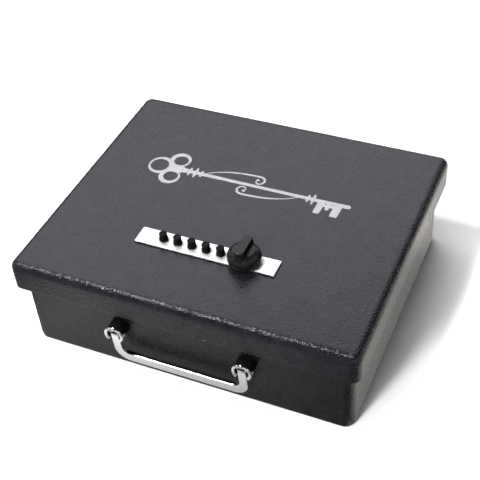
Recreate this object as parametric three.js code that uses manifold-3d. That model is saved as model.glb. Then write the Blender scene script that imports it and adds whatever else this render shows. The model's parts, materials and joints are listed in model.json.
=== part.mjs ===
// Steel security box with an overhanging hinged lid, a five-button mechanical lock and a drop handle.
// Millimetres, +Z up, origin on the floor under the middle of the base, the front face towards -Y.
import * as THREE from 'three';
import { mergeVertices } from 'three/addons/utils/BufferGeometryUtils.js';
import Module from 'manifold-3d';

const wasm = await Module();
wasm.setup();

// ---- driving dimensions -------------------------------------------------------------------------
const LID_WIDTH = 318;
const LID_DEPTH = 267;
const BOX_HEIGHT = 97; // floor to lid top
const SHEET = 3;
const SKIRT = 28; // lid top to the skirt's lower edge
const OVERHANG = 7; // skirt outside face to body outside face
const LID_CORNER = 8.5; // plan radius of the lid
const LID_EDGE = 7; // radius between lid top and skirt
const BODY_CORNER = 9;
const BODY_EDGE = 3; // radius between body wall and base
const GAP = 0.3; // between separate pieces that bear on each other

const HINGE_LENGTH = 280;
const HINGE_KNUCKLES = 9;
const HINGE_RADIUS = 3.1;
const HINGE_PIN = 1.45;
const LEAF = 1.2; // thickness
const LEAF_HEIGHT = 20;

const PLATE_X = -1.5;
const LOCK_Y = -61.7; // line of buttons, knob and plate
const PLATE_LENGTH = 130.6;
const PLATE_WIDTH = 19.1;
const PLATE_THICK = 1.6;
const BUTTON_COUNT = 5;
const BUTTON_FIRST_X = -42.6;
const BUTTON_PITCH = 13.53;
const BUTTON_RADIUS = 3.6;
const BUTTON_STEM = 2.9;
const BUTTON_HOLE = 3.2;
const BUTTON_TRAVEL = 1.5;
const BEZEL_HEIGHT = 2.5; // collar round each button's stem
const KNOB_X = 33.6;
const KNOB_RADIUS = 14.9;
const KNOB_HEIGHT = 17.3;
const KNOB_LIFT = 0.8; // plate top to the knob

const CASE_LENGTH = 100;
const CASE_WIDTH = 30;
const CASE_DEPTH = 16.7;
const CASE_WALL = 1.5;

const BOLT_TRAVEL = 10;
const BOLT_TURN = 60; // degrees of knob turn for the whole travel
const BOLT_WIDTH = 16;
const BOLT_THICK = 5;

const POST_X = 59.5; // half the distance between the handle posts
const HANDLE_X = 1.5; // middle of the two posts
const POST_Z = 50.5;
const POST_RADIUS = 8.5;
const POST_BORE = 6.8;
const POST_STUD = 4;
const POST_REACH = 14; // from the front face to the rim
const PIVOT_REACH = 9; // from the front face to the bail's pivot
const PIVOT_PIN = 1.5;
const BAIL_X = 2;
const BAIL_LEG_X = 59; // half the distance between leg centres
const BAIL_LEG = 7.5; // leg width
const BAIL_BACK = 0.4; // pivot to the bail's back face
const BAIL_FRONT = 4.2; // pivot to the bail's front face
const BAIL_DROP = 31.8; // pivot to the bottom of the bar
const BAIL_BAR = 9.8; // bar height
const BAIL_HANG = 5.5; // degrees the free bail hangs towards the box

// ---- worked out from them -----------------------------------------------------------------------
const LID_UNDER = BOX_HEIGHT - SHEET;
const LID_LOW = BOX_HEIGHT - SKIRT;
const BODY_WIDTH = LID_WIDTH - 2 * OVERHANG;
const BODY_DEPTH = LID_DEPTH - 2 * OVERHANG;
const BODY_TOP = LID_UNDER - 0.5;
const FRONT = -BODY_DEPTH / 2;
const BACK = BODY_DEPTH / 2;
const HINGE_Y = BACK + GAP + HINGE_RADIUS;
const HINGE_Z = LID_LOW - HINGE_RADIUS - 0.6;
const PLATE_LOW = BOX_HEIGHT + GAP;
const PLATE_TOP = PLATE_LOW + PLATE_THICK;
const BUTTON_X = Array.from({ length: BUTTON_COUNT }, (_, i) => BUTTON_FIRST_X + i * BUTTON_PITCH);
const STUD_X = [PLATE_X - PLATE_LENGTH / 2 + 6, PLATE_X + PLATE_LENGTH / 2 - 6];
const CASE_X = -2;
const CASE_TOP = LID_UNDER - GAP;
const CASE_LOW = CASE_TOP - CASE_DEPTH;
const CRANK = BOLT_TRAVEL / (2 * Math.sin(THREE.MathUtils.degToRad(BOLT_TURN / 2)));
const BOLT_X = KNOB_X - CRANK * 0.93;
const BOLT_TOP = CASE_LOW - 4.5;
const BOLT_LOW = BOLT_TOP - BOLT_THICK;
const BOLT_NOSE = FRONT + SHEET + 4;
const BOLT_TAIL = LOCK_Y + 30;

const PAINT = { color: 0x4a4a50, roughness: 0.75, metalness: 0.2 };
const STEEL = { color: 0xb8b8b4, roughness: 0.4, metalness: 1 };
const CHROME = { color: 0xe6e6e6, roughness: 0.08, metalness: 1 };
const SILVER = { color: 0xe8e8e6, roughness: 0.3, metalness: 0.9 };
const BLACK = { color: 0x101012, roughness: 0.35, metalness: 0 };

const part = new THREE.Group();

// ---- helpers ------------------------------------------------------------------------------------
function add(name, geometry, look, parent = part) {
  const mesh = new THREE.Mesh(geometry, new THREE.MeshStandardMaterial(look));
  mesh.name = name;
  parent.add(mesh);
  return mesh;
}

function solid(geometry) {
  const bare = geometry.index ? geometry.toNonIndexed() : geometry.clone();
  bare.deleteAttribute('normal');
  bare.deleteAttribute('uv');
  const merged = mergeVertices(bare, 1e-4);
  return new wasm.Manifold(new wasm.Mesh({
    numProp: 3,
    vertProperties: new Float32Array(merged.attributes.position.array),
    triVerts: new Uint32Array(merged.index.array),
  }));
}

function geometryOf(manifold) {
  const mesh = manifold.getMesh();
  const geometry = new THREE.BufferGeometry();
  geometry.setAttribute('position', new THREE.BufferAttribute(mesh.vertProperties, 3));
  geometry.setIndex(new THREE.BufferAttribute(mesh.triVerts, 1));
  return geometry;
}

function join(...pieces) {
  return pieces.reduce((whole, piece) => whole.add(piece));
}

function cut(whole, ...tools) {
  return tools.reduce((left, tool) => left.subtract(tool), whole);
}

function block(x0, x1, y0, y1, z0, z1) {
  const box = new THREE.BoxGeometry(x1 - x0, y1 - y0, z1 - z0);
  box.translate((x0 + x1) / 2, (y0 + y1) / 2, (z0 + z1) / 2);
  return solid(box);
}

function roundedRect(width, depth, radius) {
  const x = width / 2 - radius;
  const y = depth / 2 - radius;
  const shape = new THREE.Shape();
  shape.absarc(x, y, radius, 0, Math.PI / 2);
  shape.absarc(-x, y, radius, Math.PI / 2, Math.PI);
  shape.absarc(-x, -y, radius, Math.PI, Math.PI * 1.5);
  shape.absarc(x, -y, radius, Math.PI * 1.5, Math.PI * 2);
  return shape;
}

// A rounded slab from z0 to z1 whose top and bottom edges are rounded by edge.
function slab(width, depth, corner, z0, z1, edge, segments = 4) {
  const shape = roundedRect(width - 2 * edge, depth - 2 * edge, corner - edge);
  const geometry = new THREE.ExtrudeGeometry(shape, {
    depth: z1 - z0 - 2 * edge,
    bevelEnabled: edge > 0,
    bevelThickness: edge,
    bevelSize: edge,
    bevelSegments: segments,
    curveSegments: 3,
  });
  geometry.translate(0, 0, z0 + edge);
  return solid(geometry);
}

// A turned piece about Z through (x, y), from its [radius, z] profile.
function turned(profile, x = 0, y = 0, sides = 24) {
  const points = profile.map(([radius, z]) => new THREE.Vector2(radius, z));
  const geometry = new THREE.LatheGeometry(points, sides);
  geometry.rotateX(Math.PI / 2);
  geometry.translate(x, y, 0);
  return solid(geometry);
}

function rod(radius, z0, z1, x, y, sides = 24) {
  return turned([[0, z0], [radius, z0], [radius, z1], [0, z1]], x, y, sides);
}

// The same turned piece laid along X or Y, its profile running towards +X or +Y.
function alongX(profile, y, z, sides = 24) {
  const points = profile.map(([radius, x]) => new THREE.Vector2(radius, x));
  const geometry = new THREE.LatheGeometry(points, sides);
  geometry.rotateZ(-Math.PI / 2);
  geometry.translate(0, y, z);
  return solid(geometry);
}

function alongY(profile, x, z, sides = 28) {
  const points = profile.map(([radius, y]) => new THREE.Vector2(radius, y));
  const geometry = new THREE.LatheGeometry(points, sides);
  geometry.translate(x, 0, z);
  return solid(geometry);
}

function bar(radius, x0, x1, y, z, sides = 12) {
  return alongX([[0, x0], [radius, x0], [radius, x1], [0, x1]], y, z, sides);
}

// A plain hole along Y, for cutting.
function holeY(radius, y0, y1, x, z, sides = 16) {
  return alongY([[0, y0], [radius, y0], [radius, y1], [0, y1]], x, z, sides);
}

// A hexagon nut with its axis along Z, from z0 to z1.
function hexNut(flats, bore, z0, z1, x, y) {
  return cut(rod(flats / Math.sqrt(3), z0, z1, x, y, 6), rod(bore, z0 - 1, z1 + 1, x, y, 16));
}

// ---- box body -----------------------------------------------------------------------------------
function bodyShell() {
  const outside = slab(BODY_WIDTH, BODY_DEPTH, BODY_CORNER, 0, BODY_TOP + 20, BODY_EDGE, 3);
  const inside = slab(BODY_WIDTH - 2 * SHEET, BODY_DEPTH - 2 * SHEET, BODY_CORNER - SHEET,
    SHEET, BODY_TOP + 40, 1, 1);
  const above = block(-LID_WIDTH, LID_WIDTH, -LID_DEPTH, LID_DEPTH, BODY_TOP, BODY_TOP + 60);
  const holes = [-1, 1].map((side) => {
    const x = HANDLE_X + side * POST_X;
    return holeY(POST_STUD + 0.3, FRONT - 5, FRONT + 8, x, POST_Z);
  });
  return cut(outside, inside, above, ...holes);
}

// Catch behind the front wall: an upright leg and a lip that the bolt runs under.
function strike() {
  const wall = FRONT + SHEET + GAP;
  const low = BOLT_TOP + 0.6;
  const leg = block(BOLT_X - 16, BOLT_X + 16, wall, wall + 2.5, low, BODY_TOP - 3);
  const lip = block(BOLT_X - 16, BOLT_X + 16, wall, wall + 12.5, low, low + 2.5);
  return join(leg, lip);
}

// ---- lid ----------------------------------------------------------------------------------------
function lidShell() {
  const outside = slab(LID_WIDTH, LID_DEPTH, LID_CORNER, LID_LOW - 20, BOX_HEIGHT, LID_EDGE);
  const inside = slab(LID_WIDTH - 2 * SHEET, LID_DEPTH - 2 * SHEET, LID_CORNER - SHEET,
    LID_LOW - 40, LID_UNDER, LID_EDGE - SHEET, 2);
  const below = block(-LID_WIDTH, LID_WIDTH, -LID_DEPTH, LID_DEPTH, LID_LOW - 60, LID_LOW);
  const stems = BUTTON_X.map((x) => rod(BUTTON_HOLE, LID_UNDER - 5, BOX_HEIGHT + 5, x, LOCK_Y, 16));
  const studs = STUD_X.map((x) => rod(2.6, LID_UNDER - 5, BOX_HEIGHT + 5, x, LOCK_Y, 16));
  const spindle = rod(5, LID_UNDER - 5, BOX_HEIGHT + 5, KNOB_X, LOCK_Y);
  return cut(outside, inside, below, spindle, ...stems, ...studs);
}

// One leaf of the long hinge with every other knuckle; first is 0 or 1.
function hingeLeaf(leafY, leafZ0, leafZ1, first) {
  const length = HINGE_LENGTH / HINGE_KNUCKLES;
  const low = -HINGE_LENGTH / 2;
  const pieces = [];
  const notches = [];
  for (let i = 0; i < HINGE_KNUCKLES; i += 1) {
    const x0 = low + i * length + 0.25;
    const x1 = x0 + length - 0.5;
    if (i % 2 === first) {
      pieces.push(bar(HINGE_RADIUS, x0, x1, HINGE_Y, HINGE_Z, 16));
    } else {
      notches.push(block(x0 - 0.5, x1 + 0.5, HINGE_Y - 6, HINGE_Y + 6,
        HINGE_Z - HINGE_RADIUS - 0.6, HINGE_Z + HINGE_RADIUS + 0.6));
    }
  }
  const leaf = block(low, -low, leafY, leafY + LEAF, leafZ0, leafZ1);
  return cut(join(cut(leaf, ...notches), ...pieces),
    bar(HINGE_PIN + 0.1, low - 5, 5 - low, HINGE_Y, HINGE_Z));
}

// A key lying along X: a bow of three rings, a collared shank and a two-toothed bit.
function keyEmblem() {
  const low = BOX_HEIGHT + GAP;
  const high = low + 0.3;
  const x = -3;
  const y = 33;
  const ring = (radius, hole, dx, dy) => [
    rod(radius, low, high, x + dx, y + dy, 28),
    rod(hole, low - 1, high + 1, x + dx, y + dy, 28),
  ];
  const rings = [ring(12, 8.5, -88, 0), ring(10, 6.8, -72, 12.5), ring(10, 6.8, -72, -12.5)];
  const shank = block(x - 68, x + 97, y - 2.6, y + 2.6, low, high);
  const collars = [-56, -50, 62].map((dx) => (
    block(x + dx - 1.6, x + dx + 1.6, y - 6, y + 6, low, high)
  ));
  const teeth = [70, 84].map((dx) => block(x + dx, x + dx + 10, y - 17, y, low, high));
  const web = block(x + 70, x + 94, y - 9, y, low, high);
  const boss = rod(7.5, low, high, x - 72, y, 28);
  const metal = join(shank, boss, web, ...collars, ...teeth, ...rings.map((pair) => pair[0]));
  return cut(metal, ...rings.map((pair) => pair[1]));
}

// ---- lock ---------------------------------------------------------------------------------------
function lockPlate() {
  const plate = slab(PLATE_LENGTH, PLATE_WIDTH, 0.8, PLATE_LOW, PLATE_TOP, 0.3, 1)
    .translate([PLATE_X, LOCK_Y, 0]);
  const studs = STUD_X.map((x) => rod(2, CASE_TOP - 6.5, PLATE_LOW + 0.5, x, LOCK_Y, 16));
  const stems = BUTTON_X.map((x) => rod(BUTTON_HOLE, PLATE_LOW - 2, PLATE_TOP + 2, x, LOCK_Y, 16));
  const spindle = rod(5, PLATE_LOW - 2, PLATE_TOP + 2, KNOB_X, LOCK_Y);
  return cut(join(plate, ...studs), spindle, ...stems);
}

function bezel(x) {
  const low = PLATE_TOP + GAP;
  const ring = turned([
    [0, low], [4.1, low], [4.1, low + BEZEL_HEIGHT - 0.4], [3.7, low + BEZEL_HEIGHT],
    [0, low + BEZEL_HEIGHT],
  ], x, LOCK_Y);
  return cut(ring, rod(BUTTON_HOLE, low - 1, low + BEZEL_HEIGHT + 1, x, LOCK_Y, 16));
}

// Cap, stem and the shoulder that keeps it under the lid.
function button(x) {
  const waist = PLATE_TOP + GAP + BEZEL_HEIGHT + BUTTON_TRAVEL + 0.2;
  const top = waist + 3.2;
  const shoulder = LID_UNDER - GAP;
  return turned([
    [0, shoulder - 1], [4.2, shoulder - 1], [4.2, shoulder], [BUTTON_STEM, shoulder],
    [BUTTON_STEM, waist], [BUTTON_RADIUS, waist], [BUTTON_RADIUS, top - 0.8],
    [BUTTON_RADIUS - 0.6, top - 0.2], [0, top],
  ], x, LOCK_Y, 20);
}

class Helix extends THREE.Curve {
  constructor(radius, z0, z1, turns) {
    super();
    Object.assign(this, { radius, z0, z1, turns });
  }

  getPoint(t, target = new THREE.Vector3()) {
    const angle = t * this.turns * Math.PI * 2;
    return target.set(this.radius * Math.cos(angle), this.radius * Math.sin(angle),
      this.z0 + t * (this.z1 - this.z0));
  }
}

function buttonSpring(x) {
  const wire = 0.4;
  const low = CASE_LOW + CASE_WALL + GAP + wire;
  const high = LID_UNDER - GAP - 1 - GAP - wire;
  const turns = 4;
  const section = new THREE.Shape();
  section.absarc(0, 0, wire, 0, Math.PI * 2);
  const geometry = new THREE.ExtrudeGeometry(section, {
    steps: turns * 8,
    curveSegments: 3,
    bevelEnabled: false,
    extrudePath: new Helix(2.8, low, high, turns),
  });
  geometry.translate(x, LOCK_Y, 0);
  return geometryOf(solid(geometry));
}

// Open-topped tray hung under the lid by a flange at each end.
function lockCase() {
  const x0 = CASE_X - CASE_LENGTH / 2;
  const x1 = CASE_X + CASE_LENGTH / 2;
  const y0 = LOCK_Y - CASE_WIDTH / 2;
  const y1 = LOCK_Y + CASE_WIDTH / 2;
  const flange = block(STUD_X[0] - 7, STUD_X[1] + 7, y0, y1, CASE_TOP - CASE_WALL, CASE_TOP);
  const tub = block(x0, x1, y0, y1, CASE_LOW, CASE_TOP);
  const hollow = block(x0 + CASE_WALL, x1 - CASE_WALL, y0 + CASE_WALL, y1 - CASE_WALL,
    CASE_LOW + CASE_WALL, CASE_TOP + 1);
  const studs = STUD_X.map((x) => rod(2.4, CASE_TOP - 5, CASE_TOP + 1, x, LOCK_Y, 16));
  const spindle = rod(4.6, CASE_LOW - 1, CASE_LOW + 5, KNOB_X, LOCK_Y);
  return cut(join(flange, tub), hollow, spindle, ...studs);
}

// Round base, a little narrower at the foot, a tall grip blade along Y and a blind spindle bore.
function knob() {
  const low = PLATE_TOP + KNOB_LIFT;
  const r = KNOB_RADIUS;
  const base = turned([
    [0, low], [r - 0.6, low], [r, low + 3.2], [r - 0.2, low + 5.6], [r - 0.8, low + 7.6],
    [r - 2.8, low + 9.8], [r - 5.6, low + 11.1], [0, low + 11.4],
  ], KNOB_X, LOCK_Y, 36);
  const grip = slab(8.4, 2 * r - 4.5, 4.1, low + 2, low + KNOB_HEIGHT, 1.3, 2)
    .translate([KNOB_X, LOCK_Y, 0]);
  return cut(join(base, grip), rod(4.3, low - 1, low + 8, KNOB_X, LOCK_Y, 16));
}

function spindle() {
  return rod(4, CASE_LOW - 4, PLATE_TOP + KNOB_LIFT + 7.5, KNOB_X, LOCK_Y, 16);
}

// Hub on the spindle with an arm whose pin works in the bolt's slot.
function latchCam() {
  const high = CASE_LOW - GAP;
  const low = BOLT_TOP + 0.6;
  const angle = THREE.MathUtils.degToRad(180 + BOLT_TURN / 2);
  const pinX = CRANK * Math.cos(angle);
  const pinY = CRANK * Math.sin(angle);
  const arm = new THREE.BoxGeometry(CRANK, 6, high - low);
  arm.translate(CRANK / 2, 0, (high + low) / 2);
  arm.rotateZ(angle);
  arm.translate(KNOB_X, LOCK_Y, 0);
  const eye = rod(3, low, high, KNOB_X + pinX, LOCK_Y + pinY, 16);
  const pin = rod(1.5, BOLT_LOW + 1, high, KNOB_X + pinX, LOCK_Y + pinY, 12);
  return cut(join(rod(7.5, low, high, KNOB_X, LOCK_Y), solid(arm), eye, pin),
    rod(4.3, low - 1, high + 1, KNOB_X, LOCK_Y, 16));
}

function latchBolt() {
  const half = BOLT_WIDTH / 2;
  const pinY = LOCK_Y - BOLT_TRAVEL / 2;
  const blank = block(BOLT_X - half, BOLT_X + half, BOLT_NOSE, BOLT_TAIL, BOLT_LOW, BOLT_TOP);
  const bevel = new THREE.BoxGeometry(BOLT_WIDTH + 2, 12, 6);
  bevel.translate(0, 0, -3);
  bevel.rotateX(-Math.PI / 5);
  bevel.translate(BOLT_X, BOLT_NOSE, BOLT_LOW + 2.2);
  const slot = block(BOLT_X - 3.6, BOLT_X + 3.6, pinY - 1.9, pinY + 1.9, BOLT_LOW - 1, BOLT_TOP + 1);
  return cut(blank, solid(bevel), slot);
}

// Hat-section strap that carries the bolt below the lid.
function boltGuide(y0, y1) {
  const inner = BOLT_WIDTH / 2 + 0.5;
  const outer = inner + CASE_WALL;
  const low = BOLT_LOW - 0.5 - CASE_WALL;
  const wings = block(BOLT_X - outer - 9, BOLT_X + outer + 9, y0, y1, CASE_TOP - CASE_WALL, CASE_TOP);
  const strap = block(BOLT_X - outer, BOLT_X + outer, y0, y1, low, CASE_TOP);
  const way = block(BOLT_X - inner, BOLT_X + inner, y0 - 1, y1 + 1, low + CASE_WALL, CASE_TOP + 1);
  return cut(join(wings, strap), way);
}

// ---- drop handle --------------------------------------------------------------------------------
// Round cup with a rolled rim, slotted below for the bail, and a stud through the front wall.
function post(x) {
  const wall = FRONT - GAP;
  const rim = FRONT - POST_REACH;
  const cup = alongY([
    [0, rim + 0.6], [POST_RADIUS - 1.4, rim], [POST_RADIUS - 0.5, rim + 0.2],
    [POST_RADIUS, rim + 1], [POST_RADIUS, wall], [POST_STUD, wall],
    [POST_STUD, FRONT + SHEET + 9], [0, FRONT + SHEET + 9],
  ], x, POST_Z);
  const bore = holeY(POST_BORE, rim - 1, wall - 2.6, x, POST_Z, 28);
  const slot = block(x - 5.8, x + 5.8, rim - 1, wall - 2.6, POST_Z - POST_RADIUS - 2, POST_Z - 3);
  const pinHole = bar(PIVOT_PIN + 0.1, x - 12, x + 12, FRONT - PIVOT_REACH, POST_Z);
  return cut(cup, bore, slot, pinHole);
}

function postPin(x) {
  const half = POST_RADIUS + 0.9;
  return alongX([
    [0, x - half], [1, x - half], [PIVOT_PIN, x - half + 0.5], [PIVOT_PIN, x + half - 0.5],
    [1, x + half], [0, x + half],
  ], FRONT - PIVOT_REACH, POST_Z, 12);
}

function postNut(x) {
  const low = FRONT + SHEET + GAP;
  const nut = new THREE.CylinderGeometry(7.5, 7.5, 6.5, 6);
  nut.translate(x, low + 3.25, POST_Z);
  return cut(solid(nut), holeY(POST_STUD + 0.3, low - 1, low + 8, x, POST_Z));
}

// The bail hanging straight down from a pivot on the origin; it is then turned by BAIL_HANG.
function bail() {
  const bevel = 1;
  const outer = BAIL_LEG_X + BAIL_LEG / 2 - bevel;
  const inner = BAIL_LEG_X - BAIL_LEG / 2 + bevel;
  const bottom = -BAIL_DROP + bevel;
  const top = -BAIL_DROP + BAIL_BAR - bevel;
  const outerRadius = 14;
  const innerRadius = 6;
  const shape = new THREE.Shape();
  shape.moveTo(0, bottom);
  shape.absarc(outer - outerRadius, bottom + outerRadius, outerRadius, Math.PI * 1.5, Math.PI * 2);
  shape.lineTo(outer, 0);
  shape.lineTo(inner, 0);
  shape.absarc(inner - innerRadius, top + innerRadius, innerRadius, 0, -Math.PI / 2, true);
  shape.absarc(innerRadius - inner, top + innerRadius, innerRadius, -Math.PI / 2, -Math.PI, true);
  shape.lineTo(-inner, 0);
  shape.lineTo(-outer, 0);
  shape.absarc(outerRadius - outer, bottom + outerRadius, outerRadius, Math.PI, Math.PI * 1.5);
  const flat = new THREE.ExtrudeGeometry(shape, {
    depth: BAIL_FRONT - BAIL_BACK - 2 * bevel,
    bevelEnabled: true,
    bevelThickness: bevel,
    bevelSize: bevel,
    bevelSegments: 2,
    curveSegments: 4,
  });
  flat.rotateX(Math.PI / 2);
  flat.translate(0, -BAIL_BACK - bevel, 0);
  const half = BAIL_LEG / 2;
  const eyes = [-BAIL_LEG_X, BAIL_LEG_X].map((x) => alongX([
    [0, x - half], [BAIL_FRONT - 0.8, x - half], [BAIL_FRONT, x - half + 0.8],
    [BAIL_FRONT, x + half - 0.8], [BAIL_FRONT - 0.8, x + half], [0, x + half],
  ], 0, 0, 20));
  const bore = bar(PIVOT_PIN + 0.1, -80, 80, 0, 0);
  return cut(join(solid(flat), ...eyes), bore);
}

// ---- assembly -----------------------------------------------------------------------------------
add('body_shell', geometryOf(bodyShell()), PAINT);
add('strike', geometryOf(strike()), STEEL);
add('hinge_leaf_body',
  geometryOf(hingeLeaf(BACK + GAP, HINGE_Z - LEAF_HEIGHT, HINGE_Z, 0)), PAINT);
const pinEnd = HINGE_LENGTH / 2 + 0.5;
add('hinge_pin', geometryOf(bar(HINGE_PIN, -pinEnd, pinEnd, HINGE_Y, HINGE_Z)), STEEL);
[['left', -1], ['right', 1]].forEach(([side, sign]) => {
  const x = HANDLE_X + sign * POST_X;
  add(`post_${side}`, geometryOf(post(x)), CHROME);
  add(`post_pin_${side}`, geometryOf(postPin(x)), CHROME);
  add(`post_nut_${side}`, geometryOf(postNut(x)), STEEL);
});

add('lid_shell', geometryOf(lidShell()), PAINT);
add('hinge_leaf_lid',
  geometryOf(hingeLeaf(LID_DEPTH / 2 - SHEET - GAP - LEAF, HINGE_Z, LID_LOW + LEAF_HEIGHT, 1)), PAINT);
add('lid_emblem', geometryOf(keyEmblem()), SILVER);
add('lock_plate', geometryOf(lockPlate()), SILVER);
add('lock_case', geometryOf(lockCase()), STEEL);
STUD_X.forEach((x, i) => {
  const high = CASE_TOP - CASE_WALL - GAP;
  add(`lock_nut_${i + 1}`, geometryOf(hexNut(7, 2.3, high - 3.2, high, x, LOCK_Y)), STEEL);
});
add('bolt_guide_front', geometryOf(boltGuide(LOCK_Y - 42, LOCK_Y - 30)), STEEL);
add('bolt_guide_rear', geometryOf(boltGuide(LOCK_Y + 18, LOCK_Y + 27)), STEEL);
BUTTON_X.forEach((x, i) => {
  add(`button_bezel_${i + 1}`, geometryOf(bezel(x)), BLACK);
  add(`button_spring_${i + 1}`, buttonSpring(x), STEEL);
  add(`button_${i + 1}`, geometryOf(button(x)), BLACK);
});

add('knob', geometryOf(knob()), BLACK);
add('lock_spindle', geometryOf(spindle()), STEEL);
add('latch_cam', geometryOf(latchCam()), STEEL);
add('latch_bolt', geometryOf(latchBolt()), STEEL);

const hanging = new THREE.Group();
hanging.position.set(BAIL_X, FRONT - PIVOT_REACH, POST_Z);
hanging.rotation.x = THREE.MathUtils.degToRad(BAIL_HANG);
part.add(hanging);
add('bail', geometryOf(bail()), CHROME, hanging);

export default part;
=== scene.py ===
"""Looks for the steel security box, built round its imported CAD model.

Metres, +Z up, the front face with the handle towards -Y. Places start from the CAD nodes' boxes and joints,
and what those do not say, such as a radius or the printed key's strokes, is given in millimetres.
"""

import json  # noqa: E402
import math  # noqa: E402

import bmesh  # noqa: E402
import bpy  # noqa: E402
from mathutils import Matrix, Vector  # noqa: E402

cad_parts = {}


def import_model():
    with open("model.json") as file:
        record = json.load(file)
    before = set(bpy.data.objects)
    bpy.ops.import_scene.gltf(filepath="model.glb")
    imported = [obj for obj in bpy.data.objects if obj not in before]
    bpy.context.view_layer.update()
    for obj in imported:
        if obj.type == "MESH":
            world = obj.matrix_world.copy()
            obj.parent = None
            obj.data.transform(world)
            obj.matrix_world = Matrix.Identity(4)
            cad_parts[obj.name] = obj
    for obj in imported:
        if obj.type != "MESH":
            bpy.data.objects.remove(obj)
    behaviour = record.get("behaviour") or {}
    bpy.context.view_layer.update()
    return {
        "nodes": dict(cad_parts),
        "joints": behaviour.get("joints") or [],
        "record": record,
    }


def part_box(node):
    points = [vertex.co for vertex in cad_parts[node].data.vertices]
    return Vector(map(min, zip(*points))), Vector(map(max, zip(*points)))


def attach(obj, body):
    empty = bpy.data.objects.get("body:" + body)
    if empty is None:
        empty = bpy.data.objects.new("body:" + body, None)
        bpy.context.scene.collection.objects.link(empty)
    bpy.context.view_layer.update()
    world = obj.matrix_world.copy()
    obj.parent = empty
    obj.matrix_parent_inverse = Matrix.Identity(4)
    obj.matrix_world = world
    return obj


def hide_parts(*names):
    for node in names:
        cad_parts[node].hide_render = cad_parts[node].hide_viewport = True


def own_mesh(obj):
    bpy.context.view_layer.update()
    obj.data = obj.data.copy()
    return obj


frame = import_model()

MM = 0.001
RECORD = frame["record"]
BODY_OF = {node: body for body, nodes in RECORD["behaviour"]["bodies"].items() for node in nodes}
SLOT_OF = {part["node"]: part["material_slot"] for part in RECORD["subparts"]}
JOINTS = {joint["name"]: joint for joint in frame["joints"]}

SHEET = 3 * MM
SHARP_ANGLE = 38  # degrees between two faces, above which their edge counts as sharp
FIVE = range(5)
BUTTON_X = [sum(corner.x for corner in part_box(f"button_{i + 1}")) / 2 for i in FIVE]
LOCK_Y = sum(corner.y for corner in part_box("button_1")) / 2
KNOB_X = sum(corner.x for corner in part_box("knob")) / 2
POSTS = {
    side: tuple(sum(corner[axis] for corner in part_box(f"post_pin_{side}")) / 2 for axis in (0, 2))
    for side in ("left", "right")
}
CUP_RADIUS = 8.5  # millimetres


# ---- materials ------------------------------------------------------------------------------------
# Texture scales are features per metre, and bump distances are metres.
def grey(level):
    return (level, level, level)


def new_material(name, **settings):
    """A node material, and its tree and shader, with uniform values set on the shader's own sockets."""
    material = bpy.data.materials.new(name)
    material.use_nodes = True
    tree = material.node_tree
    shader = tree.nodes["Principled BSDF"]
    for socket, value in settings.items():
        shader.inputs[socket.replace("_", " ")].default_value = value
    return material, tree, shader


def add_node(tree, kind, inputs=None, **settings):
    """A node with its settings, and each input either linked to a socket or given a value."""
    node = tree.nodes.new(kind)
    for key, value in settings.items():
        setattr(node, key, value)
    for key, value in (inputs or {}).items():
        if isinstance(value, bpy.types.NodeSocket):
            tree.links.new(value, node.inputs[key])
        else:
            node.inputs[key].default_value = value
    return node


def object_point(tree, scale=(1, 1, 1)):
    """The shaded point in the object's own coordinates."""
    coordinates = add_node(tree, "ShaderNodeTexCoord")
    mapping = add_node(tree, "ShaderNodeMapping", {"Vector": coordinates.outputs["Object"], "Scale": scale})
    return mapping.outputs["Vector"]


def noise(tree, point, scale, detail=2.0, roughness=0.5):
    made = add_node(tree, "ShaderNodeTexNoise", {
        "Vector": point, "Scale": scale, "Detail": detail, "Roughness": roughness,
    })
    return made.outputs["Fac"]


def cells(tree, point, scale):
    """Distance to the nearest of scattered points, with the creases between them softened."""
    made = add_node(tree, "ShaderNodeTexVoronoi", {"Vector": point, "Scale": scale}, feature="SMOOTH_F1")
    return made.outputs["Distance"]


def remap(tree, value, low, high, to_low, to_high):
    made = add_node(tree, "ShaderNodeMapRange", {
        "Value": value, "From Min": low, "From Max": high, "To Min": to_low, "To Max": to_high,
    })
    return made.outputs["Result"]


def times(tree, a, b):
    """Two numbers multiplied."""
    made = add_node(tree, "ShaderNodeMath", {0: a, 1: b}, operation="MULTIPLY")
    return made.outputs["Value"]


def product(tree, a, b):
    """Two vectors or colours multiplied part by part."""
    made = add_node(tree, "ShaderNodeVectorMath", {0: a, 1: b}, operation="MULTIPLY")
    return made.outputs["Vector"]


def ramp(tree, value, *stops):
    """Colour along value, from (position, colour) stops."""
    made = add_node(tree, "ShaderNodeValToRGB", {"Fac": value})
    elements = made.color_ramp.elements
    while len(elements) < len(stops):
        elements.new(0.5)
    for element, (position, colour) in zip(elements, stops):
        element.position = position
        element.color = (*colour, 1)
    return made.outputs["Color"]


def bump(tree, height, distance, strength, normal=None):
    """A shading normal tilted by a height field, on top of another bump's normal where there is one."""
    inputs = {"Height": height, "Distance": distance, "Strength": strength}
    if normal is not None:
        inputs["Normal"] = normal
    return add_node(tree, "ShaderNodeBump", inputs).outputs["Normal"]


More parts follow.
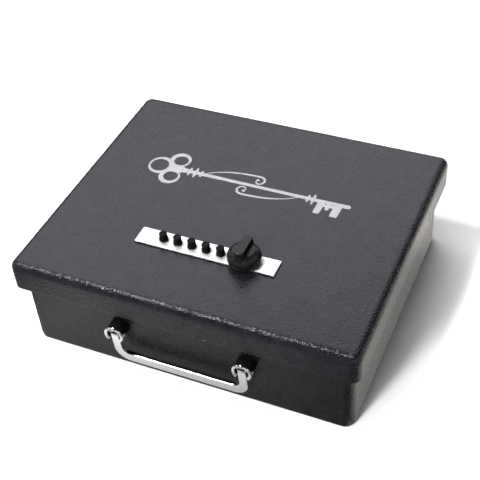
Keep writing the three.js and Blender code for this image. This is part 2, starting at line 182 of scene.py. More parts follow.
def wrinkle_paint(name, dark, light, wall_relief, level_relief):
    """Charcoal enamel with a fine leathery wrinkle, which is deeper on walls than on faces that look up."""
    material, tree, shader = new_material(name, Specular_IOR_Level=0.34)
    point = object_point(tree)
    shift = add_node(tree, "ShaderNodeTexNoise", {"Vector": point, "Scale": 260.0, "Detail": 1.0})
    warp = product(tree, shift.outputs["Color"], grey(0.0016))
    moved = add_node(tree, "ShaderNodeVectorMath", {0: point, 1: warp}, operation="ADD")
    grain = cells(tree, moved.outputs["Vector"], 560.0)
    fine = noise(tree, point, 900.0, 3.0, 0.6)
    broad = noise(tree, point, 28.0, 2.0)
    outward = add_node(tree, "ShaderNodeTexCoord").outputs["Normal"]
    upward = add_node(tree, "ShaderNodeSeparateXYZ", {"Vector": outward}).outputs["Z"]
    relief = remap(tree, upward, 0.9, 1.0, wall_relief, level_relief)
    grain = times(tree, grain, relief)
    fine = times(tree, fine, relief)
    colour = ramp(tree, noise(tree, point, 60.0, 5.0, 0.65), (0.35, dark), (0.65, light))
    tree.links.new(colour, shader.inputs["Base Color"])
    gloss = remap(tree, noise(tree, point, 350.0, 3.0), 0.3, 0.7, 0.18, 0.3)
    tree.links.new(gloss, shader.inputs["Roughness"])
    slow = bump(tree, broad, 0.0005, 0.25)
    wrinkle = bump(tree, grain, 0.0008, 0.4, slow)
    tree.links.new(bump(tree, fine, 0.0003, 0.7, wrinkle), shader.inputs["Normal"])
    return material


def chrome(name):
    """Bright plating with faint smears and hairline rubbing."""
    material, tree, shader = new_material(name, Metallic=1.0)
    point = object_point(tree)
    smears = noise(tree, point, 90.0, 3.0)
    rubbing = noise(tree, point, 240.0, 4.0, 0.6)
    colour = ramp(tree, smears, (0.3, (0.90, 0.90, 0.91)), (0.7, (0.97, 0.97, 0.98)))
    tree.links.new(colour, shader.inputs["Base Color"])
    tree.links.new(remap(tree, rubbing, 0.35, 0.7, 0.03, 0.07), shader.inputs["Roughness"])
    tree.links.new(bump(tree, noise(tree, point, 420.0, 2.0), 0.00005, 0.3), shader.inputs["Normal"])
    return material


def brushed(name, dark, light, rough=(0.24, 0.36), along=(1, 1, 1)):
    """Satin metal; along squeezes the grain so that it runs one way."""
    material, tree, shader = new_material(name, Metallic=1.0)
    point = object_point(tree, along)
    lines = noise(tree, point, 1800.0, 3.0, 0.6)
    blotch = noise(tree, object_point(tree), 70.0, 3.0)
    colour = ramp(tree, times(tree, lines, blotch), (0.1, dark), (0.45, light))
    tree.links.new(colour, shader.inputs["Base Color"])
    tree.links.new(remap(tree, lines, 0.3, 0.7, *rough), shader.inputs["Roughness"])
    tree.links.new(bump(tree, lines, 0.00004, 0.35), shader.inputs["Normal"])
    return material


def moulded(name, dark, light, shine):
    """Black moulded plastic with a faint pebble and rubbed patches."""
    material, tree, shader = new_material(name, Specular_IOR_Level=shine)
    point = object_point(tree)
    colour = ramp(tree, noise(tree, point, 160.0, 4.0, 0.6), (0.35, dark), (0.7, light))
    tree.links.new(colour, shader.inputs["Base Color"])
    gloss = remap(tree, noise(tree, point, 380.0, 3.0), 0.3, 0.7, 0.2, 0.3)
    tree.links.new(gloss, shader.inputs["Roughness"])
    tree.links.new(bump(tree, noise(tree, point, 2200.0, 2.0), 0.00006, 0.4), shader.inputs["Normal"])
    return material


def silver_ink(name):
    """Printed silver, slightly worn, that follows the wrinkle below it."""
    material, tree, shader = new_material(name, Metallic=0.25)
    point = object_point(tree)
    wear = noise(tree, point, 500.0, 4.0, 0.7)
    colour = ramp(tree, wear, (0.3, (0.2, 0.2, 0.2)), (0.6, (0.3, 0.3, 0.31)))
    tree.links.new(colour, shader.inputs["Base Color"])
    gloss = remap(tree, noise(tree, point, 700.0, 2.0), 0.3, 0.7, 0.4, 0.6)
    tree.links.new(gloss, shader.inputs["Roughness"])
    tree.links.new(bump(tree, cells(tree, point, 430.0), 0.0004, 0.3), shader.inputs["Normal"])
    return material


MATERIALS = {
    "body_paint": wrinkle_paint("body_paint", (0.0025, 0.0025, 0.003), (0.005, 0.005, 0.006), 1.2, 1.0),
    # The lid's paint is a little lighter and bluer than the box's: painted light, for the cool light its top
    # gets from above.
    "lid_paint": wrinkle_paint("lid_paint", (0.003, 0.003, 0.004), (0.006, 0.006, 0.008), 1.4, 0.62),
    "steel": brushed("steel", (0.42, 0.41, 0.38), (0.68, 0.67, 0.64)),
    "chrome": chrome("chrome"),
    "plate": brushed("plate", (0.78, 0.78, 0.77), (0.93, 0.93, 0.92), (0.5, 0.62), (0.05, 1, 1)),
    "silver_print": silver_ink("silver_print"),
    "black_plastic": moulded("black_plastic", grey(0.003), grey(0.007), 0.03),
    "knob_plastic": moulded("knob_plastic", grey(0.004), grey(0.009), 0.2),
}


# ---- mesh helpers ---------------------------------------------------------------------------------
def finish_mesh(bm, name, nodes, sharp=SHARP_ANGLE, material=None):
    """Turns a bmesh into a piece that replaces CAD nodes and rides on their body."""
    bmesh.ops.recalc_face_normals(bm, faces=bm.faces)
    mesh = bpy.data.meshes.new(name)
    bm.to_mesh(mesh)
    bm.free()
    mesh.shade_smooth()
    mesh.set_sharp_from_angle(angle=math.radians(sharp))
    slot = SLOT_OF[nodes[0]]
    mesh.materials.append(material or MATERIALS[slot])
    piece = bpy.data.objects.new(name, mesh)
    bpy.context.scene.collection.objects.link(piece)
    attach(piece, BODY_OF[nodes[0]])
    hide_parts(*nodes)
    return piece


def ring(half_x, half_y, radius, z, centre, steps=10, spare=0.0015):
    """Points round a rounded rectangle, anticlockwise, with a spare point beside each corner's arc."""
    points = []
    for quarter, (sx, sy) in enumerate(((1, 1), (-1, 1), (-1, -1), (1, -1))):
        cx = centre[0] + sx * (half_x - radius)
        cy = centre[1] + sy * (half_y - radius)
        start = quarter * math.pi / 2
        arc = [start + i * math.pi / 2 / steps for i in range(steps + 1)]
        on_arc = [(cx + radius * math.cos(a), cy + radius * math.sin(a)) for a in arc]
        before = (on_arc[0][0] + spare * math.sin(start), on_arc[0][1] - spare * math.cos(start))
        end = start + math.pi / 2
        after = (on_arc[-1][0] - spare * math.sin(end), on_arc[-1][1] + spare * math.cos(end))
        points += [(x, y, z) for x, y in (before, *on_arc, after)]
    return points


def loft(bm, rings, cap_first=True, cap_last=True):
    """Skins rings of equal count, and closes the two ends."""
    loops = [[bm.verts.new(p) for p in points] for points in rings]
    count = len(loops[0])
    for low, high in zip(loops, loops[1:]):
        for i in range(count):
            j = (i + 1) % count
            bm.faces.new((low[i], low[j], high[j], high[i]))
    if cap_first:
        bm.faces.new(reversed(loops[0]))
    if cap_last:
        bm.faces.new(loops[-1])


def arc_points(radius, steps, start, end):
    """(sideways, along) offsets round an arc, angles in degrees."""
    angles = [math.radians(start + (end - start) * i / steps) for i in range(steps + 1)]
    return [(radius * math.cos(a), radius * math.sin(a)) for a in angles]


def tray_rings(box, corner, sheet, edge, mouth_up):
    """Rings of a rounded sheet tray: inside face, inside wall, rim, outside wall, outside face.

    A section point is (inset from the outside wall, height), and flat stretches get a spare point near each
    bend so that the smooth shading stays flat there.
    """
    rim = 0.0006
    spare = 0.002
    low, high = box
    centre = ((low.x + high.x) / 2, (low.y + high.y) / 2)
    half = ((high.x - low.x) / 2, (high.y - low.y) / 2)
    face, mouth = (low.z, high.z) if mouth_up else (high.z, low.z)
    up = 1 if mouth_up else -1
    inner_edge = max(edge - sheet, 0.001)
    section = [(sheet + inner_edge + spare, face + up * sheet)]
    for c, s in arc_points(inner_edge, 4, -90, 0):
        section.append((sheet + inner_edge - c, face + up * (sheet + inner_edge + s)))
    section.append((sheet, face + up * (sheet + inner_edge + spare)))
    section.append((sheet, mouth - up * spare))
    for c, s in arc_points(rim, 3, 0, 90):
        section.append((sheet - rim + c, mouth - up * (rim - s)))
    for c, s in arc_points(rim, 3, 90, 180):
        section.append((rim + c, mouth - up * (rim - s)))
    section.append((0, mouth - up * spare))
    section.append((0, face + up * (edge + spare)))
    for c, s in arc_points(edge, 8, 180, 270):
        section.append((edge + c, face + up * (edge + s)))
    section.append((edge + spare, face))
    return [
        ring(half[0] - inset, half[1] - inset, max(corner - inset, 0.0008), z, centre)
        for inset, z in section
    ]


def lathe(bm, profile, centre, axis, steps, start=0.0, sweep=360.0):
    """Revolves (radius, along) points; a full turn closes on itself, a part turn is capped."""
    full = abs(sweep - 360) < 1e-6
    count = steps if full else steps + 1

    def place(radius, along, angle):
        c, s = radius * math.cos(angle), radius * math.sin(angle)
        offset = {"z": (c, s, along), "y": (c, along, s), "x": (along, c, s)}[axis]
        return Vector(centre) + Vector(offset)

    columns = []
    for i in range(count):
        angle = math.radians(start + sweep * i / steps)
        columns.append([bm.verts.new(place(r, a, angle)) for r, a in profile])
    for i in range(steps):
        one, two = columns[i], columns[(i + 1) % count]
        for j in range(len(profile) - 1):
            bm.faces.new((one[j], one[j + 1], two[j + 1], two[j]))
    if full:
        bmesh.ops.remove_doubles(bm, verts=bm.verts, dist=1e-7)
        return
    for i in range(steps):
        bm.faces.new((columns[i][-1], columns[i][0], columns[i + 1][0], columns[i + 1][-1]))
    bm.faces.new(columns[0])
    bm.faces.new(reversed(columns[-1]))


def refine(node, bevel):
    """The CAD node's own shape with its flat faces merged and its sharp edges rounded."""
    bm = bmesh.new()
    bm.from_mesh(frame["nodes"][node].data)
    bmesh.ops.remove_doubles(bm, verts=bm.verts, dist=1e-6)
    bmesh.ops.dissolve_limit(bm, angle_limit=math.radians(1.5), verts=bm.verts, edges=bm.edges)
    edges = [
        edge for edge in bm.edges
        if len(edge.link_faces) == 2 and edge.calc_face_angle() > math.radians(SHARP_ANGLE)
    ]
    bmesh.ops.bevel(bm, geom=edges, offset=bevel, segments=2, profile=0.6, affect="EDGES", clamp_overlap=True)
    return finish_mesh(bm, node + "_finished", [node])


# ---- the parts ------------------------------------------------------------------------------------
def trays():
    """The box and the lid, folded from sheet with soft corners and a dressed rim."""
    for name, node, corner, edge, mouth_up in (
        ("box_tray", "body_shell", 9 * MM, 3 * MM, True),
        ("lid_cover", "lid_shell", 8.5 * MM, 7 * MM, False),
    ):
        bm = bmesh.new()
        loft(bm, tray_rings(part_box(node), corner, SHEET, edge, mouth_up))
        tray = finish_mesh(bm, name, [node])
        cut_away(tray, box_drills() if mouth_up else lid_drills())


def box_drills():
    """Holes for the two handle studs."""
    holes = bmesh.new()
    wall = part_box("body_shell")[0].y
    for x, z in POSTS.values():
        drill(holes, 0.0043, -0.004, 0.008, (x, wall, z), "y")
    return holes


def lid_drills():
    """Holes under the lock plate for the button stems, the plate's studs and the knob's spindle."""
    holes = bmesh.new()
    low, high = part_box("lock_plate")
    middle = (low.y + high.y) / 2
    spots = [(BUTTON_X[i], 3.2 * MM) for i in FIVE]
    spots += [(low.x + 6 * MM, 2.6 * MM), (high.x - 6 * MM, 2.6 * MM), (KNOB_X, 5 * MM)]
    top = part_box("lid_shell")[1].z
    for x, radius in spots:
        drill(holes, radius, -0.006, 0.004, (x, middle, top), "z")
    return holes


def drill(holes, radius, start, end, centre, axis):
    """Adds a closed round cutter that runs from start to end along the axis, both measured from centre."""
    lathe(holes, [(0, start), (radius, start), (radius, end), (0, end)], centre, axis, 24)


def cut_away(piece, cutters):
    """Takes the cutters' closed solids out of the piece."""
    apply_boolean(piece, loose_object(cutters, "cutters"), "DIFFERENCE")


def apply_boolean(piece, tool, operation):
    """Joins the tool to the piece or takes it out, then removes the tool."""
    modifier = piece.modifiers.new("boolean", "BOOLEAN")
    modifier.operation = operation
    modifier.solver = "EXACT"
    modifier.object = tool
    bake_modifiers(piece)
    bpy.data.objects.remove(tool)


def bake_modifiers(piece, sharp=SHARP_ANGLE):
    """Replaces the piece's mesh by what its modifiers make of it."""
    bpy.context.view_layer.update()
    evaluated = piece.evaluated_get(bpy.context.evaluated_depsgraph_get())
    made = bpy.data.meshes.new_from_object(evaluated)
    piece.modifiers.clear()
    piece.data = made
    made.shade_smooth()
    made.set_sharp_from_angle(angle=math.radians(sharp))


def buttons():
    """Five caps with a flange below the plate, a stem and a dished top, each with its collar and spring."""
    for i in FIVE:
        low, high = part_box(f"button_{i + 1}")
        top = high.z
        under = top - 3.2 * MM
        r = 3.6 * MM
        profile = [
            (0, low.z), (4.0 * MM, low.z), (4.2 * MM, low.z + 0.2 * MM), (4.2 * MM, low.z + 0.8 * MM),
            (4.0 * MM, low.z + MM), (2.9 * MM, low.z + MM), (2.9 * MM, under - 0.3 * MM),
            (3.1 * MM, under), (r - 0.25 * MM, under), (r, under + 0.25 * MM), (r, top - 0.8 * MM),
        ]
        profile += [(r - 0.7 * MM + x, top - 0.75 * MM + z) for x, z in arc_points(0.7 * MM, 5, 10, 90)]
        profile += [(2.3 * MM, top - 0.12 * MM), (1.4 * MM, top - 0.22 * MM), (0, top - 0.25 * MM)]
        bm = bmesh.new()
        lathe(bm, profile, (BUTTON_X[i], LOCK_Y, 0), "z", 40)
        finish_mesh(bm, f"button_cap_{i + 1}", [f"button_{i + 1}"])
        bezel(i)
        spring(i)


def bezel(i):
    """Stepped collar with rounded shoulders round a button's stem."""
    low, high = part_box(f"button_bezel_{i + 1}")
    outer, bore = 4.1 * MM, 3.2 * MM
    step = outer - 0.15 * MM
    profile = [(bore, low.z), (outer, low.z), (outer, low.z + 0.7 * MM)]
    profile += [(step, low.z + 0.9 * MM), (step, high.z - 0.6 * MM)]
    profile += [(outer - 0.6 * MM + x, high.z - 0.45 * MM + z) for x, z in arc_points(0.45 * MM, 4, 0, 90)]
    profile += [(bore + 0.1 * MM, high.z), (bore, high.z - 0.1 * MM), (bore, low.z)]
    bm = bmesh.new()
    lathe(bm, profile, (BUTTON_X[i], LOCK_Y, 0), "z", 40)
    finish_mesh(bm, f"button_collar_{i + 1}", [f"button_bezel_{i + 1}"])


def spring(i):
    """Round-wire coil that sits under a button, with a mesh of its own."""
    low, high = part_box(f"button_spring_{i + 1}")
    height = high.z - low.z
    wire = 0.4 * MM
    radius = (high.x - low.x) / 2 - wire
    turns, per_turn, sides = 4.5, 24, 8
    count = round(turns * per_turn)
    bm = bmesh.new()
    loops = []
    for k in range(count + 1):
        t = k / count
        angle = 2 * math.pi * turns * t
        rise = low.z + wire + (height - 2 * wire) * (3 * t * t - 2 * t ** 3) ** 0.85
        centre = Vector((BUTTON_X[i] + radius * math.cos(angle), LOCK_Y + radius * math.sin(angle), rise))
        out = Vector((math.cos(angle), math.sin(angle), 0))
        loops.append([
            centre + wire * (out * math.cos(a) + Vector((0, 0, 1)) * math.sin(a))
            for a in [2 * math.pi * s / sides for s in range(sides)]
        ])
    loft(bm, loops)
    piece = finish_mesh(bm, f"button_coil_{i + 1}", [f"button_spring_{i + 1}"])
    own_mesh(piece)


def knob():
    """Moulded knob: a round skirt, a soft shoulder and a tall grip blade that runs front to back.

    Skirt and blade are melted into one skin by the voxel remesh.
    """
    low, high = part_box("knob")
    base, top = low.z, high.z
    r = (high.x - low.x) / 2
    bm = bmesh.new()
    bore = [(0, base + 8 * MM), (4.3 * MM, base + 8 * MM), (4.3 * MM, base)]
    skirt = [
        (r - 0.9 * MM, base), (r - 0.5 * MM, base + 0.4 * MM), (r - 0.05 * MM, base + 3.0 * MM),
        (r, base + 4.2 * MM), (r - 0.25 * MM, base + 5.9 * MM), (r - 1.0 * MM, base + 7.9 * MM),
        (r - 2.6 * MM, base + 9.8 * MM), (r - 5.2 * MM, base + 11.3 * MM), (0, base + 12.4 * MM),
    ]
    lathe(bm, bore + skirt, (KNOB_X, LOCK_Y, 0), "z", 72)
    blade = []
    for z, half_x, half_y in (
        (base + 5 * MM, 5.0, 13.9), (base + 8 * MM, 4.8, 13.7), (base + 11 * MM, 4.6, 13.3),
        (top - 1.2 * MM, 4.4, 12.7), (top, 4.3, 12.3),
    ):
        blade.append(ring(half_x * MM, half_y * MM, 3.2 * MM, z, (KNOB_X, LOCK_Y), 8, 0.0004))
    loft(bm, blade)
    piece = finish_mesh(bm, "grip_knob", ["knob"], material=MATERIALS["knob_plastic"])
    remesh = piece.modifiers.new("remesh", "REMESH")
    remesh.mode = "VOXEL"
    remesh.voxel_size = 0.32 * MM
    smooth = piece.modifiers.new("smooth", "SMOOTH")
    smooth.factor = 0.5
    smooth.iterations = 7
    bake_modifiers(piece, 180)


def posts():
    """Round cups with a rolled chrome rim, open below for the handle, each with a stud through the wall."""
    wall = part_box("body_shell")[0].y - 0.3 * MM
    for side, (x, z) in POSTS.items():
        low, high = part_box(f"post_{side}")
        rim = wall - low.y
        stud = (high.y - wall) / MM
        base = [
            (0, -2.6), (CUP_RADIUS, -2.6), (CUP_RADIUS, -0.3), (8.3, 0), (4, 0), (4, stud - 0.5), (3.5, stud),
            (0, stud),
        ]
        bm = bmesh.new()
        lathe(bm, [(a * MM, b * MM) for a, b in base], (x, wall, z), "y", 64)
        cup = finish_mesh(bm, f"handle_cup_{side}", [f"post_{side}"])
        apply_boolean(cup, cup_barrel((x, wall, z), rim), "UNION")
        # Past the rolled rim the chrome cup's barrel gets black plastic: a painted dark reflection, standing
        # in for the dark box face that the chrome barrel mirrors.
        cup.data.materials.append(MATERIALS["black_plastic"])
        painted_dark_from = wall - rim + 3.1 * MM
        for face in cup.data.polygons:
            face.material_index = int(face.center.y > painted_dark_from)
        pin(side)


def cup_barrel(centre, rim):
    """A cup's barrel as a loose object: a turned tube with a rolled rim and a gap of 86 degrees below."""
    outer, inner = CUP_RADIUS * MM, 6.8 * MM
    roll = [(7.65 * MM + a, -rim + 1.5 * MM - b) for a, b in arc_points(1.5 * MM, 14, -52, 232)]
    foot, neck = -2.0 * MM, -rim + 2.8 * MM
    section = [(outer, foot), (outer, neck), *roll, (inner, neck), (inner, foot)]
    bm = bmesh.new()
    lathe(bm, section, centre, "y", 60, -47, 274)
    caps = [face for face in bm.faces if len(face.verts) > 4]
    edges = {edge for face in caps for edge in face.edges}
    bmesh.ops.bevel(bm, geom=list(edges), offset=0.55 * MM, segments=3, profile=0.5, affect="EDGES",
                    clamp_overlap=True)
    return loose_object(bm, "barrel")


def pin(side):
    """Pivot pin across a cup, with a domed head at each end."""
    low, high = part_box(f"post_pin_{side}")
    y, z = (low.y + high.y) / 2, (low.z + high.z) / 2
    half = (high.x - low.x) / 2
    dome = [
        (2.1 * MM * math.sin(math.radians(a)), half - 0.75 * MM + 0.75 * MM * math.cos(math.radians(a)))
        for a in range(90, -1, -15)
    ]
    shank = [(1.5 * MM, -half + 0.8 * MM), (1.5 * MM, half - 0.8 * MM)]
    profile = [(r, -t) for r, t in reversed(dome)] + shank + dome
    bm = bmesh.new()
    lathe(bm, profile, ((low.x + high.x) / 2, y, z), "x", 24)
    finish_mesh(bm, f"pivot_pin_{side}", [f"post_pin_{side}"])


def loose_object(bm, name):
    """An object that only serves as a boolean's other operand."""
    bmesh.ops.recalc_face_normals(bm, faces=bm.faces)
    mesh = bpy.data.meshes.new(name)
    bm.to_mesh(mesh)
    bm.free()
    made = bpy.data.objects.new(name, mesh)
    bpy.context.scene.collection.objects.link(made)
    return made


def bail():
    """Flat chromed bar bent round two corners, its ends rolled into eyes; it hangs leaning to the box."""
    pivot = Vector(JOINTS["handle_swing"]["pos_m"])
    leg_x, half, back, front = 59 * MM, 3.75 * MM, 0.4 * MM, 4.2 * MM
    lean = 5.5
    bm = bmesh.new()
    outline = bail_outline(leg_x + half, leg_x - half)
    loft(bm, [[(x, -y, z) for x, z in outline] for y in (back, front)])
    for side, radius in ((-back, 0.5 * MM), (-front, 0.6 * MM)):
        rim = [edge for edge in bm.edges if all(abs(vert.co.y - side) < 1e-7 for vert in edge.verts)]
        bmesh.ops.bevel(bm, geom=rim, offset=radius, segments=6, profile=0.5, affect="EDGES",
                        clamp_overlap=True)
    bar = finish_mesh(bm, "handle_bail", ["bail"])
    for sign in (-1, 1):
        apply_boolean(bar, bail_eye(sign * leg_x, half, front), "UNION")
    hang = Matrix.Translation(pivot) @ Matrix.Rotation(math.radians(lean), 4, "X")
    bar.data.transform(hang)


def bail_outline(outer, inner):
    """The bar's outline as (x, z) points from the pivots: down, across and up outside, and back inside."""
    bottom, top = -31.8 * MM, -22.0 * MM
    outer_r, inner_r = 14 * MM, 6 * MM
    outline = [(-outer, 0)]
    outline += [(outer_r - outer + x, bottom + outer_r + z) for x, z in arc_points(outer_r, 14, 180, 270)]
    outline += [(outer - outer_r + x, bottom + outer_r + z) for x, z in arc_points(outer_r, 14, 270, 360)]
    outline += [(outer, 0), (inner, 0)]
    outline += [(inner - inner_r + x, top + inner_r + z) for x, z in arc_points(inner_r, 10, 0, -90)]
    outline += [(inner_r - inner + x, top + inner_r + z) for x, z in arc_points(inner_r, 10, -90, -180)]
    outline += [(-inner, 0)]
    return outline


def bail_eye(x, half, front):
    """A leg's rolled eye as a loose object: a round-edged ring about the pivot pin."""
    bore, round_r = 1.6 * MM, 0.8 * MM
    rim = front - round_r
    profile = [(bore, -half), (rim, -half)]
    profile += [(rim + a, -half + round_r + b) for a, b in arc_points(round_r, 4, -90, 0)][1:]
    profile += [(rim + a, half - round_r + b) for a, b in arc_points(round_r, 4, 0, 90)]
    profile += [(bore, half), (bore, -half)]
    bm = bmesh.new()
    lathe(bm, profile, (x, 0, 0), "x", 40)
    return loose_object(bm, "eye")


def ribbon(bm, points, widths, low, high, closed=False):
    """A flat stroke of varying width along a line of (x, y) points; a closed line repeats its first point."""
    rings = []
    last = len(points) - 1
    for i, (x, y) in enumerate(points):
        before = points[i - 1 if i else (-2 if closed else 0)]
        after = points[i + 1 if i < last else (1 if closed else last)]
        along = Vector((after[0] - before[0], after[1] - before[1], 0)).normalized()
        out = Vector((-along.y, along.x, 0)) * widths[i] / 2
        spot = Vector((x, y, 0))
        rings.append([side + Vector((0, 0, z)) for side, z in (
            (spot + out, low), (spot - out, low), (spot - out, high), (spot + out, high),
        )])
    loft(bm, rings, not closed, not closed)


def curl(start, pull, end, radius, steps=26):
    """A bent line from start to end that then winds in on itself, as (x, y) points and their widths."""
    points = []
    for i in range(steps):
        t = i / steps
        shares = ((1 - t) ** 2, 2 * t * (1 - t), t * t)
        points.append(tuple(
            shares[0] * a + shares[1] * b + shares[2] * c for a, b, c in zip(start, pull, end)
        ))
    turn = 310
    for i in range(steps + 1):
        t = i / steps
        angle = math.radians(90 - turn * t)
        reach = radius * (1 - 0.68 * t)
        points.append((end[0] + reach * math.cos(angle), end[1] - radius + reach * math.sin(angle)))
    count = len(points) - 1
    widths = [0.7 + 1.5 * max(0.0, math.sin(math.pi * i / count)) ** 1.5 for i in range(count + 1)]
    return points, widths


def emblem():
    """Key with a trefoil bow and two curled flourishes, printed in silver on the lid. Strokes are in mm."""
    low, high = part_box("lid_emblem")
    lid_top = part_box("lid_shell")[1].z
    middle = ((low.x + high.x) / 2 + 0.8 * MM, LOCK_Y + 94.7 * MM)
    base, top = lid_top + 0.02 * MM, lid_top + 0.12 * MM
    bm = bmesh.new()

    def stroke(points, widths, closed=False):
        """One stroke, a hair higher than those before it, so that no two tops lie in one plane."""
        placed = [(middle[0] + x * MM, middle[1] + y * MM) for x, y in points]
        rise = 0.0015 * MM * len(bm.verts) ** 0.5
        ribbon(bm, placed, [w * MM for w in widths], base, top + rise, closed)

    for x, y, radius, lean in ((-90, 0, 10.5, 0), (-74, 12.3, 8.6, 140), (-74, -12.3, 8.6, 220)):
        circle = [(x + a, y + b) for a, b in arc_points(radius, 40, 0, 360)]
        widths = [3.3 + 1.3 * math.cos(math.radians(9 * i - lean)) for i in range(41)]
        stroke(circle, widths, True)
    stroke([(-81, 0), (-66, 0)], [9, 9])
    stroke([(-74, -5.5), (-74, 5.5)], [9, 9])
    shank = ((-68, 7.5), (-58, 4.6), (-40, 4.2), (0, 3.6), (50, 3.9), (84, 4.6), (97, 5.2), (99, 3.0))
    stroke([(x, 0) for x, _ in shank], [width for _, width in shank])
    for x, height in ((-59, 11), (-53, 14), (-47, 9), (59, 10), (64, 14)):
        heights = (-height / 2, -height / 4, 0, height / 4, height / 2)
        stroke([(x, y) for y in heights], [1.2, 2.6, 3.2, 2.6, 1.2])
    for x, width, reach in ((72, 6.4, 17), (79.5, 4.2, 10), (88, 7.4, 17)):
        stroke([(x + 0.4, -1), (x, -reach + 3), (x, -reach)], [width, width, width - 1.4])
    stroke([(69, -4.5), (91, -4.5)], [3.4, 3.4])
    points, widths = curl((-44, 1.5), (-26, 14.5), (8, 14), 6.2)
    stroke(points, widths)
    stroke([(6 - x, -y) for x, y in points], widths)
    for x, y in (points[-1], (6 - points[-1][0], -points[-1][1])):
        lathe(bm, [(0, base), (1.5 * MM, base), (1.5 * MM, top), (0, top)],
              (middle[0] + x * MM, middle[1] + y * MM, 0), "z", 16)
    finish_mesh(bm, "printed_key", ["lid_emblem"], 30)


def ironmongery():
    """Hinge, strike, lock case and works: their own shapes with dressed edges."""
    for node, bevel in (
        ("lock_plate", 0.25), ("strike", 0.3), ("hinge_leaf_body", 0.15), ("hinge_leaf_lid", 0.15),
        ("hinge_pin", 0.2), ("post_nut_left", 0.3), ("post_nut_right", 0.3), ("lock_case", 0.2),
        ("lock_nut_1", 0.2), ("lock_nut_2", 0.2), ("bolt_guide_front", 0.2), ("bolt_guide_rear", 0.2),
        ("lock_spindle", 0.25), ("latch_cam", 0.2), ("latch_bolt", 0.3),
    ):
        refine(node, bevel * MM)


trays()
buttons()
knob()
posts()
bail()
emblem()
ironmongery()


# ---- floor, lights and camera ---------------------------------------------------------------------
def level_sheet(name, across, along, height):
    """A flat rectangular mesh that faces up."""
    mesh = bpy.data.meshes.new(name)
    corners = [(across[i], along[j], height) for i, j in ((0, 0), (1, 0), (1, 1), (0, 1))]
    mesh.from_pydata(corners, [], [(0, 1, 2, 3)])
    return mesh


def floor():
    reach = (-6.0, 6.0)
    mesh = level_sheet("floor", reach, reach, 0)
    material, tree, shader = new_material("floor_white", Roughness=0.9)
    clouds = noise(tree, object_point(tree), 3.0, 2.0)
    colour = ramp(tree, clouds, (0.3, grey(0.88)), (0.7, grey(0.9)))
    tree.links.new(colour, shader.inputs["Base Color"])
    mesh.materials.append(material)
    sheet = bpy.data.objects.new("floor", mesh)
    bpy.context.scene.collection.objects.link(sheet)


AIM = Vector((0, 0, 0.05))  # about the middle of the box


def toward(azimuth, elevation):
    """Direction from the box to a lamp or the camera. Azimuth 0 is in front, at -Y, and 90 at +X."""
    a, e = math.radians(azimuth), math.radians(elevation)
    return Vector((math.sin(a) * math.cos(e), -math.cos(a) * math.cos(e), math.sin(e)))


def softbox(name, azimuth, elevation, distance, size, power, colour=(1, 1, 1)):
    """An area light that faces the box, with power in watts and lengths in metres."""
    back = toward(azimuth, elevation)
    light = bpy.data.lights.new(name, "AREA")
    light.shape = "RECTANGLE"
    light.size, light.size_y = size
    light.energy = power
    light.color = colour
    lamp = bpy.data.objects.new(name, light)
    lamp.location = AIM + back * distance
    lamp.rotation_euler = (-back).to_track_quat("-Z", "Y").to_euler()
    bpy.context.scene.collection.objects.link(lamp)
    return lamp


def far_key(name, azimuth, elevation, strength, angle):
    """A distant lamp that throws the box's shadow and lights the whole floor, but shows in no reflection."""
    light = bpy.data.lights.new(name, "SUN")
    light.energy = strength
    light.angle = math.radians(angle)
    lamp = bpy.data.objects.new(name, light)
    lamp.rotation_euler = (-toward(azimuth, elevation)).to_track_quat("-Z", "Y").to_euler()
    lamp.visible_glossy = False
    bpy.context.scene.collection.objects.link(lamp)


def glow_card(name, across, along, strength, colour, x_stops, y_stops):
    """A sheet just over the floor that only glossy reflections see, so the walls mirror a lit tabletop.

    Its glow is the product of two levels, from (place, level) stops along x and along y; the levels are a
    painted reflection of the tabletop's light and shade, dimmer where the box shades the floor.
    """
    mesh = level_sheet(name, across, along, 1.0 * MM)
    material, tree, shader = new_material(name, Base_Color=(0, 0, 0, 1), Specular_IOR_Level=0.0)
    place = add_node(tree, "ShaderNodeSeparateXYZ", {"Vector": object_point(tree)})
    levels = []
    for axis, stops in (("X", x_stops), ("Y", y_stops)):
        first, last = stops[0][0], stops[-1][0]
        share = remap(tree, place.outputs[axis], first, last, 0.0, 1.0)
        marks = [((at - first) / (last - first), grey(level)) for at, level in stops]
        levels.append(ramp(tree, share, *marks))
    tint = product(tree, product(tree, *levels), colour)
    tree.links.new(tint, shader.inputs["Emission Color"])
    shader.inputs["Emission Strength"].default_value = strength
    mesh.materials.append(material)
    sheet = bpy.data.objects.new(name, mesh)
    for sight in ("visible_camera", "visible_diffuse", "visible_shadow", "visible_transmission"):
        setattr(sheet, sight, False)
    bpy.context.scene.collection.objects.link(sheet)


def camera():
    """The photograph's view, with place, direction and focal length as fitted to the box's outline."""
    azimuth, elevation, roll = 26.51, 42.53, math.radians(-4.70)
    place = (0.3037, -0.6086, 0.6817)
    focal_pixels, picture_pixels = 1001.3, 480
    back = toward(azimuth, elevation)
    level = (-back).cross(Vector((0, 0, 1))).normalized()
    upright = level.cross(-back)
    right = math.cos(roll) * level + math.sin(roll) * upright
    up = -math.sin(roll) * level + math.cos(roll) * upright
    data = bpy.data.cameras.new("camera")
    data.sensor_width = 36.0
    data.lens = data.sensor_width * focal_pixels / picture_pixels
    data.clip_start, data.clip_end = 0.05, 50
    made = bpy.data.objects.new("camera", data)
    made.matrix_world = Matrix([(right[i], up[i], back[i], place[i]) for i in range(3)] + [(0, 0, 0, 1)])
    bpy.context.scene.collection.objects.link(made)
    bpy.context.scene.camera = made


def world(strength):
    made = bpy.data.worlds.new("studio")
    made.use_nodes = True
    made.node_tree.nodes["Background"].inputs["Color"].default_value = (1, 1, 1, 1)
    made.node_tree.nodes["Background"].inputs["Strength"].default_value = strength
    bpy.context.scene.world = made


floor()
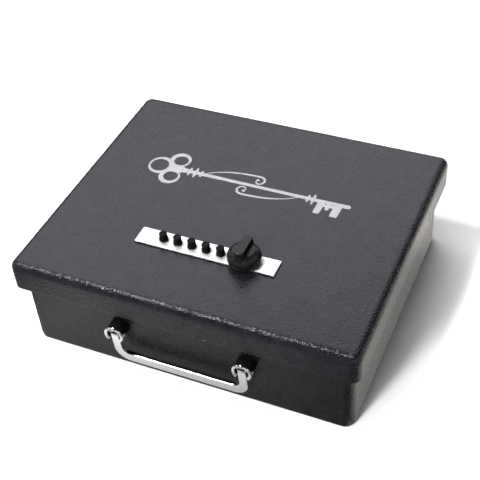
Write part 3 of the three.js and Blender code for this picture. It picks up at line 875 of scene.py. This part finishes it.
# Each lamp: name, azimuth, elevation, distance, (width, height), power.
softbox("back_left_panel", 211, 43.5, 1.8, (1.75, 1.2), 16.5, (0.94, 0.92, 1.0))
softbox("edge_key", -64, 68, 1.6, (0.26, 0.26), 27)
# These light the floor and the matt surfaces, and show in no reflection.
for lamp in (
    ("overhead", 0, 89.9, 1.7, (1.0, 1.0), 8),
    ("front_fill", 0, 38, 1.7, (0.8, 0.7), 7.9),
    ("back_left_fill", 225, 62, 1.7, (0.8, 0.7), 5),
    ("front_left_fill", 340, 50, 1.7, (0.8, 0.7), 6.6),
    ("floor_wash", 345, 38, 1.9, (0.9, 0.9), 6),
):
    softbox(*lamp).visible_glossy = False
# A low ring that shows only in reflections gives the paint its tone from the other sides.
for azimuth in (20, 62, 100, 168, 262, 302):
    softbox(f"ring_panel_{azimuth}", azimuth, 24, 2.0, (1.0, 0.8), 3.2).visible_diffuse = False
far_key("shadow_key", 343, 25, 4.2, 11)
world(0.02)

FRONT_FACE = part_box("body_shell")[0].y
RIGHT_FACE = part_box("body_shell")[1].x
glow_card(
    "glow_front", (-0.6, 0.6), (-0.8, FRONT_FACE), 1.17, (1.0, 1.0, 1.0),
    ((-0.40, 0.3), (-0.21, 0.4), (-0.19, 0.6), (-0.175, 0.85), (-0.14, 1.0), (-0.105, 0.86),
     (-0.06, 0.78), (0.0, 0.65), (0.06, 0.52), (0.09, 0.42), (0.12, 0.3), (0.16, 0.16)),
    ((-0.30, 0.4), (-0.215, 0.55), (-0.19, 0.93), (-0.17, 1.0), (-0.145, 0.72), (-0.128, 0.6)),
)
glow_card(
    "glow_right", (RIGHT_FACE, 0.8), (FRONT_FACE, 0.8), 2.2, (1.0, 0.97, 0.93),
    ((0.153, 0.56), (0.172, 0.82), (0.185, 0.9), (0.21, 1.0)),
    ((-0.12, 0.46), (-0.02, 0.42), (0.05, 0.4), (0.09, 0.46), (0.12, 0.72), (0.14, 0.8), (0.17, 0.72)),
)
glow_card(
    "glow_left", (-0.8, -RIGHT_FACE), (FRONT_FACE, 0.8), 0.15, (1.0, 1.0, 1.0),
    ((-0.8, 0.9), (-0.15, 1.0)),
    ((-0.12, 1.0), (0.8, 0.9)),
)
camera()
bpy.context.scene.view_settings.view_transform = "Standard"
